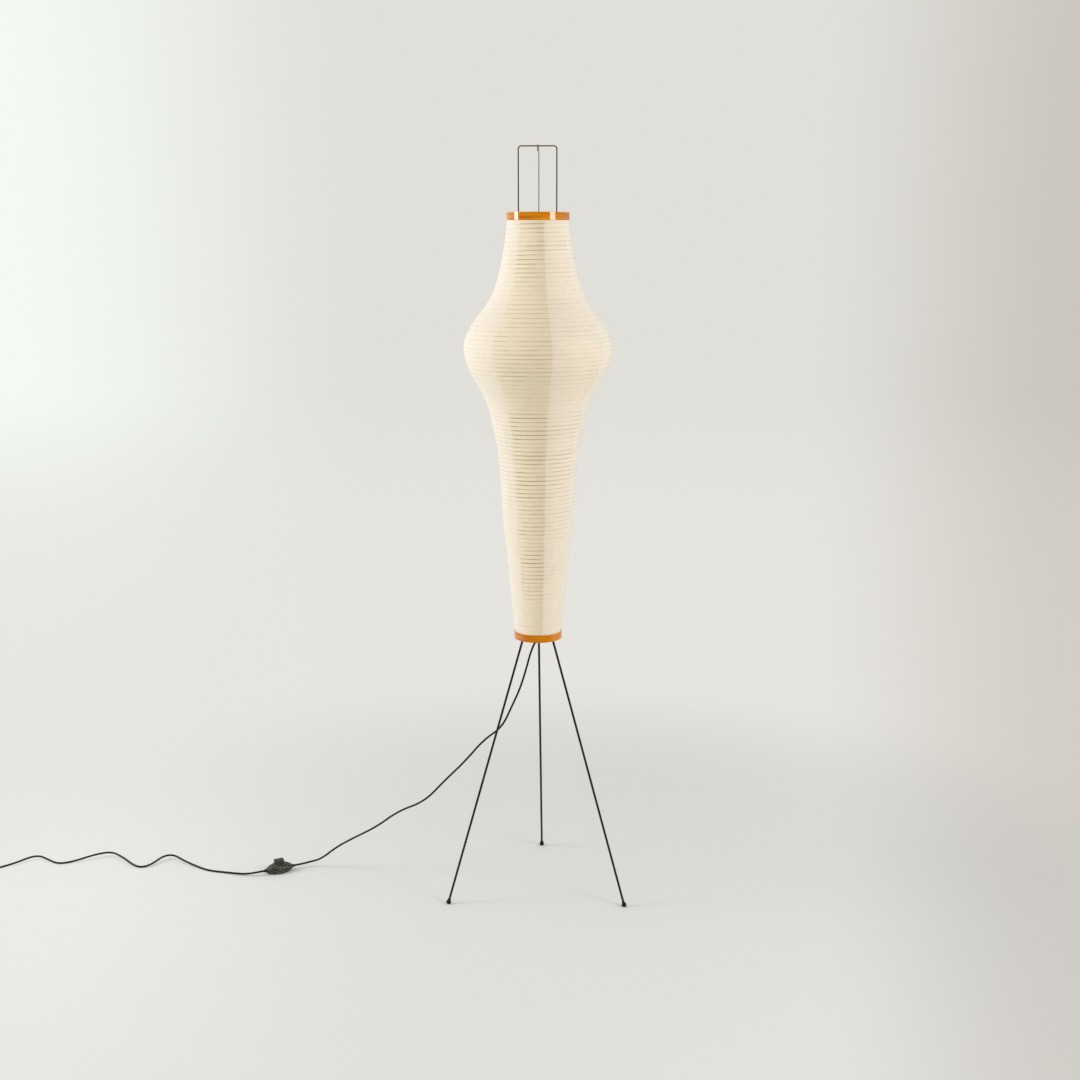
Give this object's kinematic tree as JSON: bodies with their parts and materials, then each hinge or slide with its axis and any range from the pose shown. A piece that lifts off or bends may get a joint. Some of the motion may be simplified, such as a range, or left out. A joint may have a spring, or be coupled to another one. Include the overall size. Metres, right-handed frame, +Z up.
{
  "type": "paper lantern floor lamp",
  "caption": "Tall ribbed paper lantern on a slim black steel tripod, with a wire carrying frame, varnished hoops, a corded foot switch and a sliding lower hoop.",
  "frame": {"origin": "on the floor, on the axis of the shade, at the centre of the circle that the three feet stand on", "axes": "+Z up along the shade; +Y towards the single rear leg; the two front legs stand towards -Y"},
  "size_m": [1.8174, 0.4385, 1.85],
  "materials": {
    "legs": "satin black lacquered steel rod",
    "feet": "matt black rubber",
    "hub": "satin black lacquered cast steel",
    "screws": "blackened steel",
    "wire": "dark lacquered steel wire",
    "hoop": "bent wood strip under amber varnish, gloss",
    "hoop_lining": "bent wood strip, thin varnish",
    "paper": "cream mulberry paper, matt, translucent",
    "rib": "split bamboo",
    "brass": "turned brass",
    "steel": "zinc plated steel",
    "holder": "black thermoset moulding",
    "ceramic": "unglazed white ceramic",
    "bulb_metal": "rolled aluminium",
    "glass": "opal white glass",
    "cord": "black round sheath, satin",
    "switch": "dark grey moulding, fine texture",
    "plug": "black moulding",
    "tie": "woven hook tape"
  },
  "bodies": {
    "lamp": {"leg_front_left": "legs", "leg_front_right": "legs", "leg_rear": "legs", "foot_front_left": "feet", "foot_front_right": "feet", "foot_rear": "feet", "hub": "hub", "leg_screws": "screws", "front_wire": "wire", "rear_wire": "wire", "hoop_spokes": "wire", "top_hoop": "hoop", "top_hoop_lining": "hoop_lining", "upper_paper": "paper", "lower_paper": "paper", "upper_ribs": "rib", "lower_ribs": "rib", "nipple": "brass", "nipple_nuts": "steel", "holder_cap": "holder", "holder_body": "holder", "holder_insert": "ceramic", "terminal_screws": "brass", "screw_shell": "brass", "centre_contact": "brass", "holder_leads": "cord", "bulb_cap": "bulb_metal", "bulb_glass": "glass", "cord_grip": "cord", "cord_to_switch": "cord", "cord_to_plug": "cord", "cord_coil": "cord", "coil_tie": "tie", "switch_base": "switch", "switch_cover": "switch", "switch_screws": "steel", "switch_glands": "cord", "button_spring": "steel", "contact_blades": "brass", "plug_relief": "plug", "plug_body": "plug", "plug_pins": "steel"},
    "button": {"foot_button": "switch", "contact_bridge": "brass"},
    "hoop_slide": {"bottom_hoop": "hoop", "bottom_hoop_lining": "hoop_lining", "hem_paper": "paper", "hem_rib": "rib"}
  },
  "joints": [
    {"name": "button_press", "type": "slide", "parent": "lamp", "child": "button", "axis": [0, 0, -1], "range_m": [0, 0.003], "stiffness_N_per_m": 500, "springref_m": -0.002, "deforming": ["button_spring"]},
    {"name": "shade_lift", "type": "slide", "parent": "lamp", "child": "hoop_slide", "axis": [0, 0, 1], "range_m": [0, 0.3], "deforming": ["lower_paper", "lower_ribs"]}
  ]
}
